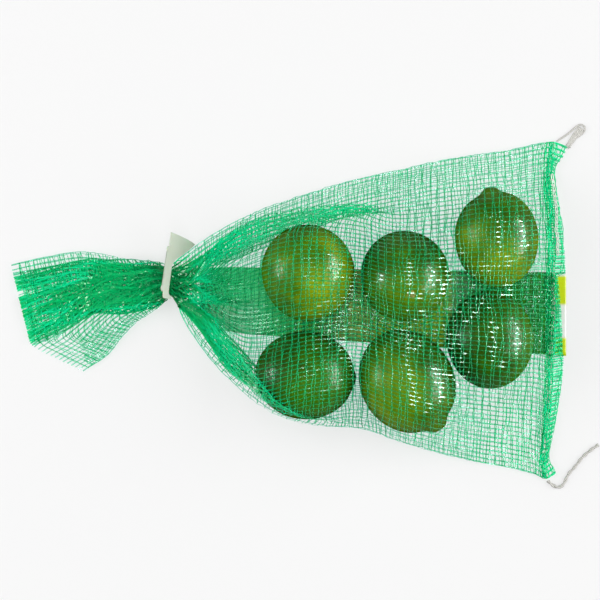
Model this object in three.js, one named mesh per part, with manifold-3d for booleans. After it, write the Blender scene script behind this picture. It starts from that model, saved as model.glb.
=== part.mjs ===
// A net bag of six limes lying on its back: green leno netting drawn into a gathered neck by a
// plastic tab, a fan of spare netting past the tab, a sewn hem, a film band along the underside
// and the two ends of the seam's thread. Millimetres, +Z up, +X from the neck to the hem.
import * as THREE from 'three';
import { mergeVertices } from 'three/addons/utils/BufferGeometryUtils.js';
import Module from 'manifold-3d';

const wasm = await Module();
wasm.setup();

// Heights of what lies on the table
const BAND_THICKNESS = 0.5;
const BACK_HEIGHT = 0.9;
const FLAT_NET_TOP = 2.8;
const LIME_BASE = 1.3;
const NET_OVER_LIME = 0.8;

// Limes: centre in plan, half-thickness, half-length, and the long axis' heading and tilt in degrees
const LIMES = [
  { x: 10.4, y: 20.3, across: 25.2, along: 27.8, heading: 100, tilt: 50 },
  { x: 62.6, y: 18.7, across: 24.2, along: 28.5, heading: -79, tilt: 68 },
  { x: 112.1, y: 39.6, across: 22.9, along: 26.6, heading: 99, tilt: 8 },
  { x: 8.7, y: -34.6, across: 24.2, along: 27.6, heading: -4, tilt: 4 },
  { x: 63.7, y: -36.8, across: 24.8, along: 29.0, heading: -55, tilt: 6 },
  { x: 108.3, y: -14.4, across: 23.6, along: 26.8, heading: 93, tilt: 5 },
];

// The bag's two long edges, station by station from the cut end of the tail to the hem: upper
// edge x, y, z and lower edge x, y, z. The lower edge rides up where two limes lie against it.
const EDGE_STATIONS = [
  [-152.6, 24.8, 1.6, -141.9, -19.5, 1.4],
  [-134.2, 29.2, 2.0, -127.1, -26.1, 1.2],
  [-115.0, 32.5, 2.6, -113.3, -33.3, 1.2],
  [-98.5, 30.5, 3.6, -101.2, -25.6, 1.8],
  [-84.7, 27.8, 5.2, -87.5, -10.2, 4.0],
  [-74.8, 25.6, 7.0, -75.4, 1.2, 6.5],
  [-66.6, 23.0, 8.4, -66.6, 9.4, 8.4],
  [-58.9, 28.9, 8.0, -58.9, -3.0, 7.5],
  [-49.0, 36.6, 6.0, -50.1, -16.2, 6.0],
  [-35.2, 45.4, 4.0, -38.0, -32.2, 5.5],
  [-17.6, 54.2, 2.6, -21.5, -48.7, 8.0],
  [1.7, 61.3, 2.0, -2.8, -58.6, 17.0],
  [21.5, 67.4, 1.8, 18.2, -63.0, 20.0],
  [41.2, 72.9, 1.8, 39.1, -65.7, 15.0],
  [61.1, 77.3, 1.8, 59.4, -71.8, 9.0],
  [80.9, 81.7, 1.8, 79.8, -77.8, 4.0],
  [100.7, 85.0, 1.8, 100.1, -82.2, 2.0],
  [120.5, 87.7, 1.8, 120.5, -86.1, 1.8],
  [137.0, 91.3, 1.8, 134.8, -89.4, 1.8],
  [145.2, 92.1, 1.8, 141.9, -92.1, 1.8],
  [152.9, 89.4, 1.8, 148.0, -88.8, 1.8],
];
const NECK_STATION = 6;

// Hem: the sewn edge bows out along its middle and pulls in beside both corners
const HEM_BOW = 2.2;
const HEM_PULLS = [4.5, 7.0];
const HEM_PULL_PLACES = [0.055, 0.926];
const HEM_PULL_SPREAD = 0.05;
const HEM_REACH_STATIONS = 4;

// Gathers: half-height and squareness of section at the neck and at the fan's cut end, how fast the
// cut end thins out, and the pleats that radiate from the neck
const NECK_HALF_HEIGHT = 6.2;
const NECK_SQUARENESS = 2;
const FAN_HALF_HEIGHT = 1.6;
const FAN_SQUARENESS = 6;
const FAN_LOWEST = 0.3;
const CUT_END_TAPER = 3;
const PLEATS = 5;
const PLEAT_HEIGHT = 1.4;
const PLEAT_FADE = 45;

// Drape: pull of the net's weight against its tension, per millimetre, and the solver's sweeps
const NET_SAG = 0.02;
const BACK_SAG = 0.05;
const SWEEPS = 400;
const STEPS_PER_STATION = 4;
const COLUMNS = 28;

// Closure tab: a bent plate that bridges the neck, with its own origin, heading and lean
const TAB = {
  x: -67.9, y: 9.0, z: 19.5, heading: 82.5, lean: 52,
  width: 21, bendAngle: 40, spareAngle: 0.07, thickness: 0.9, length: 38, start: -3,
};

// Film band on the table: its outline, clockwise from the end by the neck
const BAND_OUTLINE = [
  [-49.0, 23.4], [-31.4, 23.9], [152.4, 20.9], [152.4, -25.0], [-24.2, -12.9], [-49.0, -9.1],
];

// Ends of the seam's thread, lying on the table
const THREAD_LOOP_RADIUS = 0.6;
const THREAD_TAIL_RADIUS = 1.0;
const THREAD_SIDES = 8;
const THREAD_STEPS = 14;
const THREAD_LOOP_ROUTE = [
  [147.2, 92.9, 1.2], [149.0, 94.2, 0.9], [151.2, 95.6, 0.75], [153.2, 97.0, 0.75],
  [155.0, 98.5, 0.75], [156.7, 100.0, 0.75], [158.4, 101.4, 0.75], [160.4, 102.1, 0.75],
  [162.2, 101.2, 0.75], [162.6, 99.2, 0.75], [161.4, 97.4, 0.75], [159.6, 96.0, 0.75],
  [157.7, 94.7, 0.75], [156.0, 93.0, 0.75], [154.9, 91.0, 0.9], [154.3, 89.6, 1.2],
];
const THREAD_TAIL_ROUTE = [
  [142.2, -93.6, 1.4], [143.8, -95.1, 1.2], [145.6, -96.4, 1.15], [147.6, -97.1, 1.15],
  [149.6, -96.6, 1.15], [151.0, -95.1, 1.15], [152.0, -93.1, 1.15], [153.0, -91.0, 1.15],
  [154.3, -89.0, 1.15], [156.0, -87.2, 1.15], [157.6, -85.3, 1.15], [159.2, -83.3, 1.15],
  [160.7, -81.3, 1.15], [162.5, -79.5, 1.15], [164.5, -77.8, 1.15], [166.4, -76.3, 1.15],
  [168.3, -74.9, 1.15], [170.0, -73.8, 1.15],
];

const finish = (color, roughness) => new THREE.MeshStandardMaterial({ color, roughness, metalness: 0 });
const mix = THREE.MathUtils.lerp;
const radians = THREE.MathUtils.degToRad;

// Lime surface over or under a point of the plan, or undefined outside its outline
function limeHeight(lime, x, y, side) {
  const heading = radians(lime.heading);
  const tilt = radians(lime.tilt);
  const rise = Math.sin(tilt);
  const flat = Math.cos(tilt) * ((x - lime.x) * Math.cos(heading) + (y - lime.y) * Math.sin(heading));
  const stretch = lime.along ** -2 - lime.across ** -2;
  const reach = (x - lime.x) ** 2 + (y - lime.y) ** 2;
  const a = lime.across ** -2 + stretch * rise ** 2;
  const b = 2 * stretch * rise * flat;
  const c = reach / lime.across ** 2 + stretch * flat ** 2 - 1;
  const root = b * b - 4 * a * c;
  if (root < 0) return undefined;
  const halfHeight = Math.sqrt(lime.across ** 2 + rise ** 2 * (lime.along ** 2 - lime.across ** 2));
  return LIME_BASE + halfHeight + (-b + side * Math.sqrt(root)) / (2 * a);
}

function netFloor(x, y) {
  const tops = LIMES.map((lime) => limeHeight(lime, x, y, 1)).filter((z) => z !== undefined);
  return Math.max(FLAT_NET_TOP, ...tops.map((z) => z + NET_OVER_LIME));
}

function backCeiling(x, y) {
  const undersides = LIMES.map((lime) => limeHeight(lime, x, y, -1)).filter((z) => z !== undefined);
  return Math.max(BACK_HEIGHT, Math.min(Infinity, ...undersides));
}

// Plan of the bag: rows across it at every step of the stations, columns from lower to upper edge
const ROWS = (EDGE_STATIONS.length - 1) * STEPS_PER_STATION;
const NECK_ROW = NECK_STATION * STEPS_PER_STATION;
const upperEdge = new THREE.CatmullRomCurve3(EDGE_STATIONS.map((s) => new THREE.Vector3(s[0], s[1], s[2])));
const lowerEdge = new THREE.CatmullRomCurve3(EDGE_STATIONS.map((s) => new THREE.Vector3(s[3], s[4], s[5])));

function hemShift(row, t) {
  const nearHem = 1 - (ROWS - row) / (HEM_REACH_STATIONS * STEPS_PER_STATION);
  if (nearHem <= 0) return 0;
  const pulls = HEM_PULL_PLACES.map((place, end) => {
    return HEM_PULLS[end] * Math.exp(-(((t - place) / HEM_PULL_SPREAD) ** 2));
  });
  return nearHem ** 2 * (HEM_BOW * Math.sin(Math.PI * t) - pulls[0] - pulls[1]);
}

function planRow(row) {
  const upper = upperEdge.getPoint(row / ROWS);
  const lower = lowerEdge.getPoint(row / ROWS);
  return Array.from({ length: COLUMNS + 1 }, (_, column) => {
    const t = column / COLUMNS;
    const point = lower.clone().lerp(upper, t);
    point.x += hemShift(row, t);
    return point;
  });
}

const plan = Array.from({ length: ROWS + 1 }, (_, row) => planRow(row));

// Rounded section of the gathered netting: flat and thin at the fan's end, oval in the neck
function gatherHalfHeight(row, t) {
  const along = row / NECK_ROW;
  const power = mix(FAN_SQUARENESS, NECK_SQUARENESS, along);
  const end = Math.min(1, CUT_END_TAPER * along);
  const halfHeight = mix(FAN_HALF_HEIGHT, NECK_HALF_HEIGHT, along ** 2) * end;
  return halfHeight * Math.sqrt(1 - Math.abs(2 * t - 1) ** power);
}

function pleat(row, t) {
  const x = plan[row][0].x;
  const neckX = plan[NECK_ROW][0].x;
  const fade = Math.exp(-Math.abs(x - neckX) / PLEAT_FADE) * Math.min(1, (CUT_END_TAPER * row) / NECK_ROW);
  return PLEAT_HEIGHT * fade * Math.cos(2 * Math.PI * PLEATS * t) * Math.sin(Math.PI * t);
}

// Starting heights of one sheet: the gathered fan and neck as they stay, the rest at the edges' level
function startHeights(side) {
  return plan.map((points, row) => points.map((point, column) => {
    const t = column / COLUMNS;
    if (row > NECK_ROW) return point.z;
    return Math.max(FAN_LOWEST, point.z + side * gatherHalfHeight(row, t));
  }));
}

function spread(a, b) {
  return 1 / ((a.x - b.x) ** 2 + (a.y - b.y) ** 2);
}

// Stretched sheet between the neck, the edges and the hem, kept above lowest and below highest
function drape(heights, sag, lowest, highest) {
  const inner = [];
  for (let row = NECK_ROW + 1; row < ROWS; row += 1) {
    for (let column = 1; column < COLUMNS; column += 1) {
      const here = plan[row][column];
      const near = [[row - 1, column], [row + 1, column], [row, column - 1], [row, column + 1]];
      const weights = near.map(([r, c]) => spread(here, plan[r][c]));
      const total = weights.reduce((sum, weight) => sum + weight, 0);
      const bottom = lowest(here.x, here.y);
      inner.push({ row, column, near, weights, total, bottom, top: highest(here.x, here.y) });
    }
  }
  for (let sweep = 0; sweep < SWEEPS; sweep += 1) {
    for (const cell of inner) {
      const pulled = cell.near.reduce((sum, [r, c], k) => sum + cell.weights[k] * heights[r][c], -sag);
      const free = pulled / cell.total;
      heights[cell.row][cell.column] = Math.min(cell.top, Math.max(cell.bottom, free));
    }
  }
  return heights;
}

const front = drape(startHeights(1), NET_SAG, netFloor, () => Infinity);
const back = drape(startHeights(-1), BACK_SAG, () => BACK_HEIGHT, backCeiling);

function closed(geometry) {
  geometry.deleteAttribute('normal');
  geometry.deleteAttribute('uv');
  const merged = mergeVertices(geometry, 1e-4);
  merged.computeVertexNormals();
  return merged;
}

// Net and contents: front sheet one way across, back sheet the other way, meeting at every edge
function netPack() {
  const around = 2 * COLUMNS;
  const skin = new THREE.PlaneGeometry(1, 1, around, ROWS);
  const places = skin.attributes.position;
  for (let row = 0; row <= ROWS; row += 1) {
    for (let turn = 0; turn <= around; turn += 1) {
      const isFront = turn <= COLUMNS;
      const column = isFront ? turn : around - turn;
      const sheet = isFront ? front : back;
      const point = plan[row][column];
      const relief = isFront && column > 0 && column < COLUMNS && row > 0 ? pleat(row, column / COLUMNS) : 0;
      const z = row === 0 || row === ROWS ? point.z : Math.max(sheet[row][column] + relief, FAN_LOWEST);
      places.setXYZ(row * (around + 1) + turn, point.x, point.y, z);
    }
  }
  return closed(skin);
}

function solidOf(geometry) {
  const merged = closed(geometry.clone());
  const mesh = new wasm.Mesh({
    numProp: 3,
    vertProperties: Float32Array.from(merged.attributes.position.array),
    triVerts: Uint32Array.from(merged.index.array),
  });
  return new wasm.Manifold(mesh);
}

function geometryOf(solid) {
  const mesh = solid.getMesh();
  const geometry = new THREE.BufferGeometry();
  geometry.setAttribute('position', new THREE.BufferAttribute(mesh.vertProperties, 3));
  geometry.setIndex(new THREE.BufferAttribute(mesh.triVerts, 1));
  geometry.computeVertexNormals();
  return geometry;
}

// Bent strip of the tab: an arc across its width, drawn along its length. X is across the tab,
// Y along it and Z off its outer face.
function tabStrip() {
  const half = radians(TAB.bendAngle / 2);
  const radius = TAB.width / 2 / Math.sin(half);
  const from = Math.PI / 2 - half - TAB.spareAngle;
  const to = Math.PI / 2 + half + TAB.spareAngle;
  const strip = new THREE.Shape();
  strip.absarc(0, 0, radius, from, to, false);
  strip.absarc(0, 0, radius - TAB.thickness, to, from, true);
  const sweep = { depth: TAB.length, bevelEnabled: false, curveSegments: 10 };
  const geometry = new THREE.ExtrudeGeometry(strip, sweep);
  geometry.translate(TAB.width / 2, -radius * Math.cos(half), -TAB.start - TAB.length);
  geometry.rotateX(Math.PI / 2);
  return geometry;
}

// Outline of the tab, across and along: two break-off nibs, the bridge over the neck and its two legs
function tabOutline() {
  const outline = new THREE.Shape();
  outline.moveTo(1.0, -2.2);
  outline.lineTo(5.2, -2.2);
  outline.lineTo(5.2, -0.6);
  outline.quadraticCurveTo(3.2, -0.4, 3.0, 2.0);
  outline.lineTo(3.0, 16.0);
  outline.lineTo(5.0, 19.4);
  outline.lineTo(11.0, 23.4);
  outline.lineTo(20.6, 29.2);
  outline.lineTo(0.0, 33.8);
  outline.lineTo(0.0, 26.2);
  outline.quadraticCurveTo(-1.2, 26.0, -1.2, 24.6);
  outline.quadraticCurveTo(-1.2, 23.2, 0.0, 23.0);
  outline.lineTo(0.0, 5.4);
  outline.quadraticCurveTo(-1.6, 5.0, -1.5, 3.2);
  outline.quadraticCurveTo(-1.4, 1.6, 0.0, 1.2);
  outline.quadraticCurveTo(0.0, -2.2, 1.0, -2.2);
  const depth = 3 * TAB.width;
  const geometry = new THREE.ExtrudeGeometry(outline, { depth, bevelEnabled: false, curveSegments: 4 });
  geometry.translate(0, 0, -depth / 2);
  return geometry;
}

function closureTab() {
  return geometryOf(solidOf(tabStrip()).intersect(solidOf(tabOutline())));
}

function placeTab(mesh) {
  const heading = radians(TAB.heading);
  const lean = radians(TAB.lean);
  const along = new THREE.Vector3(Math.cos(heading), Math.sin(heading), 0);
  const level = new THREE.Vector3(along.y, -along.x, 0);
  const across = level.multiplyScalar(Math.cos(lean)).add(new THREE.Vector3(0, 0, -Math.sin(lean)));
  const outward = across.clone().cross(along);
  mesh.quaternion.setFromRotationMatrix(new THREE.Matrix4().makeBasis(across, along, outward));
  mesh.position.set(TAB.x, TAB.y, TAB.z);
}

function labelBand() {
  const outline = new THREE.Shape(BAND_OUTLINE.map(([x, y]) => new THREE.Vector2(x, y)));
  return new THREE.ExtrudeGeometry(outline, { depth: BAND_THICKNESS, bevelEnabled: false });
}

function thread(route, radius) {
  const path = new THREE.CatmullRomCurve3(route.map((p) => new THREE.Vector3(...p)));
  const section = new THREE.Shape();
  for (let side = 0; side < THREAD_SIDES; side += 1) {
    const angle = (2 * Math.PI * side) / THREAD_SIDES;
    const point = [radius * Math.cos(angle), radius * Math.sin(angle)];
    if (side === 0) section.moveTo(...point);
    else section.lineTo(...point);
  }
  return new THREE.ExtrudeGeometry(section, { steps: THREAD_STEPS, extrudePath: path, bevelEnabled: false });
}

function named(name, geometry, material) {
  const mesh = new THREE.Mesh(geometry, material);
  mesh.name = name;
  return mesh;
}

const bag = new THREE.Group();
const tab = named('closure_tab', closureTab(), finish(0xd2dccb, 0.45));
placeTab(tab);
bag.add(
  named('net_pack', netPack(), finish(0x1fa35f, 0.4)),
  tab,
  named('label_band', labelBand(), finish(0x49702a, 0.5)),
);

// Origin under the middle of the bag's box, on the table
const box = new THREE.Box3().setFromObject(bag);
const middle = box.getCenter(new THREE.Vector3());
bag.add(
  named('thread_loop', thread(THREAD_LOOP_ROUTE, THREAD_LOOP_RADIUS), finish(0xe9ebe2, 0.8)),
  named('thread_tail', thread(THREAD_TAIL_ROUTE, THREAD_TAIL_RADIUS), finish(0xdcded6, 0.8)),
);
bag.position.set(-middle.x, -middle.y, -box.min.z);

const part = new THREE.Group();
part.add(bag);
export default part;
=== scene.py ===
"""A net bag of six limes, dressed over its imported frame.

The netting is woven yarn by yarn: flat tapes run from the tail to the hem, and twisted pairs of thin
yarns cross them. Lengths are in millimetres until a mesh is placed, in the frame's own axes.
"""
import math
from collections import namedtuple

import bmesh
import bpy
import numpy as np
from mathutils import Matrix, Vector


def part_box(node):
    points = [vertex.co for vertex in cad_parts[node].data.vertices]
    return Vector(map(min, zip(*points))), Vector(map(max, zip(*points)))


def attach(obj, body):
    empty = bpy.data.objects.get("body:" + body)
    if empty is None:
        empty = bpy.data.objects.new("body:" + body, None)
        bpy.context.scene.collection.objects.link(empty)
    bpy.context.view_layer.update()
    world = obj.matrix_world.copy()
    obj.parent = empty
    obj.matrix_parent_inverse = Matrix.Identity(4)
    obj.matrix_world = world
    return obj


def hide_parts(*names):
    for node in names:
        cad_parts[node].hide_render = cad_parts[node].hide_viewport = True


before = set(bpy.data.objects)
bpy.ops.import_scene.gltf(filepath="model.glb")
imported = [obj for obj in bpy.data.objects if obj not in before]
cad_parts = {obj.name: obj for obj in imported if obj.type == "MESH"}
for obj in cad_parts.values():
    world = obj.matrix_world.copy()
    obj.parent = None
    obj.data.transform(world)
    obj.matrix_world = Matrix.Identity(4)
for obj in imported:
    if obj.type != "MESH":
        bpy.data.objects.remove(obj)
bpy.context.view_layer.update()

MM = 0.001

# Heights of what lies on the table
BACK_HEIGHT = 0.9
FLAT_NET_TOP = 2.8
LIME_BASE = 1.3
NET_OVER_LIME = 0.8
BACK_UNDER_LIME = 0.3
NO_CEILING = 1e3

# Limes: centre in plan, half-thickness, half-length, the long axis' heading and tilt in degrees, height
# of the nipple at the raised end (none where the stem's end is raised), how light the peel is, and the
# middle of its yellow blush
Lime = namedtuple("Lime", "x y across along heading tilt nipple light blush")
LIMES = [
    Lime(10.4, 20.3, 25.2, 27.8, 100, 50, 0.5, 0.66, (28, 11, 40)),
    Lime(62.6, 18.7, 24.2, 28.5, -79, 68, 0.0, 0.12, (66, 4, 40)),
    Lime(112.1, 38.8, 22.9, 27.4, 99, 8, 2.2, 0.5, (112, 19, 30)),
    Lime(8.7, -34.6, 24.2, 27.6, -4, 4, 0.5, -0.04, (20, -45, 44)),
    Lime(63.7, -38.0, 25.5, 30.3, -55, 6, 2.7, 0.22, (58, -48, 44)),
    Lime(108.3, -15.5, 23.6, 27.4, 93, 5, 1.2, -0.04, (126, -20, 30)),
]
PEEL_INSET = 0.35
PEEL_LUMPS = 0.1
PEEL_WAVES = 7
PEEL_WAVE_COUNTS = (2.0, 5.5)

# A lime's two ends: the nipple's height where it is hidden, the share of it within the half-length, its
# spread in radians and what a millimetre adds to that, then rings as depth, place and width in radians
HIDDEN_NIPPLE = 1.0
NIPPLE_IN_LENGTH = 0.45
NIPPLE_SPREAD = (0.135, 0.03)
NIPPLE_DIP = (0.3, 0.2, 0.12)
STEM_HOLLOW = (1.3, 0.0, 0.11)
STEM_RIM = (0.2, 0.24, 0.1)
SCAR = dict(radius=3.0, height=0.9, lobes=5, lobe_depth=0.16, sunk=1.9)

# Peel: places on the ramp of ripeness, with the colour there and what a light lime adds to it
PEEL_TONES = [
    (0.34, (0.013, 0.05, 0.001), (0.05, 0.1, 0.0)),
    (0.62, (0.04, 0.1, 0.001), (0.1, 0.16, 0.0)),
    (0.95, (0.085, 0.2, 0.001), (0.42, 0.32, 0.0)),
]

# Netting round the limes. It hangs loose from SLACK_STARTS on, as a share of a lime's size, and there it
# wobbles more and is duller.
NET_CLEARANCE = 1.0
BACK_CLEARANCE = 0.2
NIPPLE_ROOM = 0.6
LEAST_SHARE = 0.2
WOBBLE = (0.2, 0.12, 0.12)
SLACK_STARTS = 1.07
SLACK_GROWS_OVER = 0.12
SLACK_WOBBLE = 1.8
SLACK_DULLING = 0.14

# The body's two long edges from the neck to the hem: upper x, y, z and lower x, y, z
BODY_STATIONS = [
    [-66.6, 23.0, 8.4, -66.6, 9.4, 8.4],
    [-58.9, 28.9, 8.0, -59.4, -2.0, 7.5],
    [-49.0, 36.6, 6.0, -50.0, -16.0, 6.0],
    [-35.2, 45.4, 4.0, -38.0, -31.2, 5.5],
    [-17.6, 54.2, 2.6, -21.5, -46.2, 8.0],
    [1.7, 61.3, 2.0, -2.8, -57.2, 17.0],
    [21.5, 67.4, 1.8, 18.2, -61.6, 20.0],
    [41.2, 72.9, 1.8, 39.1, -64.0, 15.0],
    [61.1, 77.3, 1.8, 59.4, -71.0, 9.0],
    [80.9, 81.7, 1.8, 79.8, -77.2, 4.0],
    [100.7, 85.0, 1.8, 100.1, -82.2, 2.0],
    [120.5, 87.7, 1.8, 120.5, -86.1, 1.8],
    [137.0, 91.3, 1.8, 134.8, -89.4, 1.8],
    [145.2, 92.1, 1.8, 141.9, -92.1, 1.8],
    [152.9, 89.4, 1.8, 148.0, -88.8, 1.8],
]

# The hem bows out, and its seam pulls it in: shares of the way across, with depth and spread
HEM_BOW = 2.2
HEM_PULLS = ((0.074, 7.6, 0.19), (0.95, 6.4, 0.16))
HEM_CORNER_SPREAD = 0.045
HEM_REACH_STATIONS = 4
HEM_FADE = 4
HEM_PULL_SHARPNESS = 1.3

# The tail's three rails from its cut end to the neck: upper edge, corner of the cut end, lower edge
TAIL_LENGTH = 88
TAIL_UPPER = [
    [-152.6, 24.8, 1.6], [-134.2, 28.6, 2.0], [-115.0, 31.2, 2.6], [-98.5, 29.2, 3.6],
    [-84.7, 26.4, 5.2], [-74.8, 25.4, 7.0], [-66.6, 23.0, 8.4],
]
TAIL_CORNER = [
    [-141.9, -19.5, 1.4], [-126.0, -16.5, 1.8], [-105.0, -11.5, 2.6], [-88.0, 1.2, 4.6],
    [-75.5, 8.0, 7.0], [-66.6, 13.0, 8.4],
]
TAIL_LOWER = [
    [-113.3, -33.3, 1.2], [-101.2, -24.4, 1.8], [-87.5, -8.6, 4.0], [-75.4, 0.4, 6.5], [-66.6, 9.4, 8.4],
]

# Its thickness, from the round neck to a flat fan that thins at its cut end, and the folds at the neck
NECK_HALF_HEIGHT = 6.2
NECK_SQUARENESS = 2
FAN_HALF_HEIGHT = 1.6
FAN_SQUARENESS = 6
FAN_LOWEST = 0.3
CUT_END_TAPER = 3
CUT_END_HEIGHT = 0.25
CORNER_EASING = 12
FOLDS = 5
FOLD_HEIGHT = 1.4
FOLD_FADE = 45.0

# The lower part of the tail's cut end is one layer, left of this line from its top to its foot
FLAP_LINE = ((-117.7, -13.5), (-110.6, -33.3))
FLAP_SLOPE = 0.2
FLAP_MARGIN = 0.5
FLAP_THINNING = 0.75
FLAP_BLEND = 0.12

# Slit in the tail's cut end: how far along it reaches, its place across and half its width
SLIT = (-144.0, 9.6, 0.75)

# Drape: pull of the net's weight against its tension, per millimetre, and the solver's sweeps
NET_SAG = 0.02
BACK_SAG = 0.05
SWEEPS = 4000
COLUMNS = 72

# Weave: cells across one layer, spacing of the pairs, sizes of the yarns
CELLS = 68
PAIR_PITCH = 4.1
TAPE_WIDTH = 0.67
TAPE_THICKNESS = 0.07
TAPE_SPREAD = 0.3
TAPE_SHARPEST = 50
TAPE_ROLL = 0.1
TAPE_ROLL_SHARE = 0.6
TAPE_UNEVENNESS = 0.12
TAPE_CROWN = (0.2, 0.08)
TAPE_BUCKLE = 0.18
FRAY = 0.4
CRINKLE = 7.0
CRINKLE_LIMIT = 0.3
STEEPEST = 1.5
PAIR_WIDTH = 0.45
PAIR_THICKNESS = 0.09
PAIR_TWIST = 0.12
PAIR_LIFT = 0.16
PAIR_SLACK = 0.3
PAIR_PARTING = 1.0
PAIR_PARTED = (0.62, 0.5)
PAIR_ROLL = 0.5
EDGE_NUB = 0.25

# Netting laid over netting: the gap, the rows from the neck at which it turns outward and settles, how
# far the back layer is shifted along the bag and across it, and how much of a rise counts as width
LAYER_GAP = 0.4
LAYER_GAP_ROWS = (2, 3)
BACK_SKEW = 2.05
BACK_OFFSET = 1.2
BACK_OFFSET_FADE = 6
RISE_SHARE = 0.15

# How gathered it is: crossings within a reach, from few to many, and at least so much at the seam, over
# the band's end and along the bag. The neck and the hollows of its folds add to it. What is added over the
# band's end, at the neck and in the folds is painted shade, which darkens the netting there.
GATHER_REACH = 2.6
GATHER_EASING = 2
GATHER_COUNTS = (3.5, 9.0)
SEAM_GATHER = 0.6
# Painted shade: these push the seam's rows over the band's end past one, into the deep green.
SEAM_SHADE_ON_BAND = (1.2, 1.4, 1.4, 1.2, 0.6)
DRAWN_NET = [(-90, 0.0), (-66, 0.2), (-40, 0.24), (0, 0.18), (34, 0.14), (46, 0.0)]
# Painted shade: darkening at the neck and in the hollows of its folds, and how far it reaches.
NECK_SHADE = 0.6
NECK_SHADE_REACH = 7.0
FOLD_SHADE = 0.7
FOLD_SHADE_REACH = 22.0

# What that does to the tone, from one share to another, the last past one being the deep green of painted
# shade, to the tint and to the rows' slant and jitter
GATHERED_AND_SHADED_TONES = [
    (0.14, 0.7, (0.003, 0.88, 0.43)),
    (0.72, 0.98, (0.0004, 0.54, 0.16)),
    # Painted shade: this deep green, past one, is reached only where painted shade is added.
    (1.0, 1.6, (0.0005, 0.27, 0.072)),
]
GATHERED_TINT = (0.05, 0.85, 0.5)
FOLD_SKEW = 1.4
SKEW_ROWS = 4
SKEW_GATHER = 3
LOOSE_JITTER = (0.5, 0.14, 0.1)

# Hem, as distances from the tapes' ends: the last pair, then the rows drawn together by the seam.
# Stitches lie out from the seam and over it where they show, and in and under it where they don't.
# Over the band's end the tapes stop short, by TRIM at its upper and lower corner.
LAST_PAIR = 1.5
LADDER_WIDENING = 1.6
LADDER_GATHER = 0.4
SEAM_ROWS = (5.7, 6.6, 7.5, 8.4, 9.3, 10.2)
SEAM_MARGIN = 0.8
STITCHES = 62
STITCHES_SHOWN = (0.09, 0.33)
STITCH_OUT = (1.0, -1.3)
STITCH_LIFT = (0.9, -0.45)
STITCH_HALF_LENGTH = 0.66
STITCH_HALF_WIDTH = 0.55
STITCH_SHAKE = 0.2
STITCH_CROSSING = 0.2
STITCH_RADIUS = 0.27
BAND_END = (20.6, -24.5)
TRIM = (4.4, 0.6)

# Netting laid in pleats. Places along the bag with the width of a cell there, then the upper and lower
# pleat as distance from its edge and depth, then the shares of the row where the others lie.
CELL_WIDTHS = [
    (-150, 2.6), (-115, 2.6), (-80, 2.4), (-66, 1.8), (-59, 2.2), (-49, 2.55), (-32, 2.5), (-10, 2.42),
    (6, 2.3), (22, 2.23), (40, 2.17), (53, 2.15), (150, 2.6),
]
UPPER_PLEAT = [
    (-150, 8.2, 8), (-115, 8.8, 9), (-80, 6, 6), (-66, 3.5, 4.5), (-59, 4.5, 7), (-49, 8.2, 13.5),
    (-37, 10.8, 18.4), (-27, 10.6, 16.2), (-15, 11.6, 15.6), (-8, 11.8, 14), (6, 13.2, 12), (22, 14.2, 8),
    (40, 17.6, 4.6), (53, 21.4, 0),
]
LOWER_PLEAT = [
    (-150, 38, 8), (-115, 30, 9), (-80, 8, 6), (-66, 3.2, 4.5), (-59, 4.6, 7.4), (-49, 9.4, 17),
    (-32, 12, 22.5), (-22, 9.6, 17), (-13, 7.2, 12.5), (0, 5, 8.6), (15, 3.6, 5.4), (30, 2.5, 0),
]
FRONT_PLEATS = [
    (-150, 0.22, 0.31, 0.40), (-115, 0.25, 0.34, 0.43), (-80, 0.32, 0.48, 0.64), (-66, 0.30, 0.50, 0.70),
    (-59, 0.36, 0.52, 0.68), (-49, 0.42, 0.54, 0.66), (-32, 0.45, 0.55, 0.65), (6, 0.43, 0.48, 0.53),
]
BACK_PLEATS = [
    (-150, 0.16, 0.30, 0.44), (-115, 0.18, 0.32, 0.46), (-80, 0.25, 0.48, 0.71), (-66, 0.25, 0.50, 0.75),
    (-49, 0.36, 0.50, 0.64), (-32, 0.40, 0.50, 0.60), (6, 0.42, 0.50, 0.58),
]

# The upper pleat takes up to half of the spare netting and this much. A pleat lifts what lies over it,
# from a lead before it until that settles past it, and all is evened out along the bag in passes.
UPPER_PLEAT_EXTRA = 4
PLEAT_LEAD = 2.5
PLEAT_SETTLES = (1, 7)
PLEAT_EASING = 3
SHARE_EASING = 5
LIFT_EASING = 2

# Film band on the table, clockwise from the end by the neck
BAND_OUTLINE = [
    (-49.0, 23.4), (-31.4, 23.9), (152.4, 20.9), (152.4, -25.0), (-24.2, -12.9), (-49.0, -9.1),
]
BAND_BOTTOM = 0.12
BAND_FILM = 0.1
BAND_RIPPLE = 0.14
BAND_WAVES = (0.21, 0.4, 0.13, 0.17, 0.05)
BAND_CUT = 4.0
BAND_CUTS = (((1, 0, 0), (-45, 152)), ((0, 1, 0), (-22, 23)))

# Its plain fields of colour, at shares of its length and, past the hem, of its width
FILM_FIELDS = [
    (0.06, (0.12, 0.85, 0.4)), (0.14, (0.12, 0.76, 0.33)), (0.3, (0.16, 0.42, 0.05)),
    (0.38, (0.42, 0.48, 0.09)), (0.46, (0.6, 0.62, 0.12)), (0.5, (0.8, 0.95, 0.05)),
    (0.66, (0.82, 0.96, 0.04)), (0.7, (0.3, 0.5, 0.2)), (0.78, (0.05, 0.26, 0.012)),
]
LEAF = (0.6, 0.7, 0.01)
WHITE = (0.85, 0.86, 0.82)
FILM_END = [
    (0.0, LEAF), (0.2, LEAF), (0.23, WHITE), (0.6, WHITE), (0.63, LEAF), (0.94, LEAF), (0.97, WHITE),
]
PALE_CORNER = (0.42, 0.75, 0.52)

# Closure tab: origin, heading and lean of the bent plate that bridges the neck
TAB_ORIGIN = (-67.9, 9.0, 19.5)
TAB_HEADING = 82.5
TAB_LEAN = 52.0
TAB_WIDTH = 21.0
TAB_BEND = 40.0
TAB_THICKNESS = 0.9
TAB_CUTS = 12
TAB_CUT_MARGINS = (0.5, 0.8)
TAB_RIM = 0.2
TAB_BEND_STEPS = 5

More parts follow.
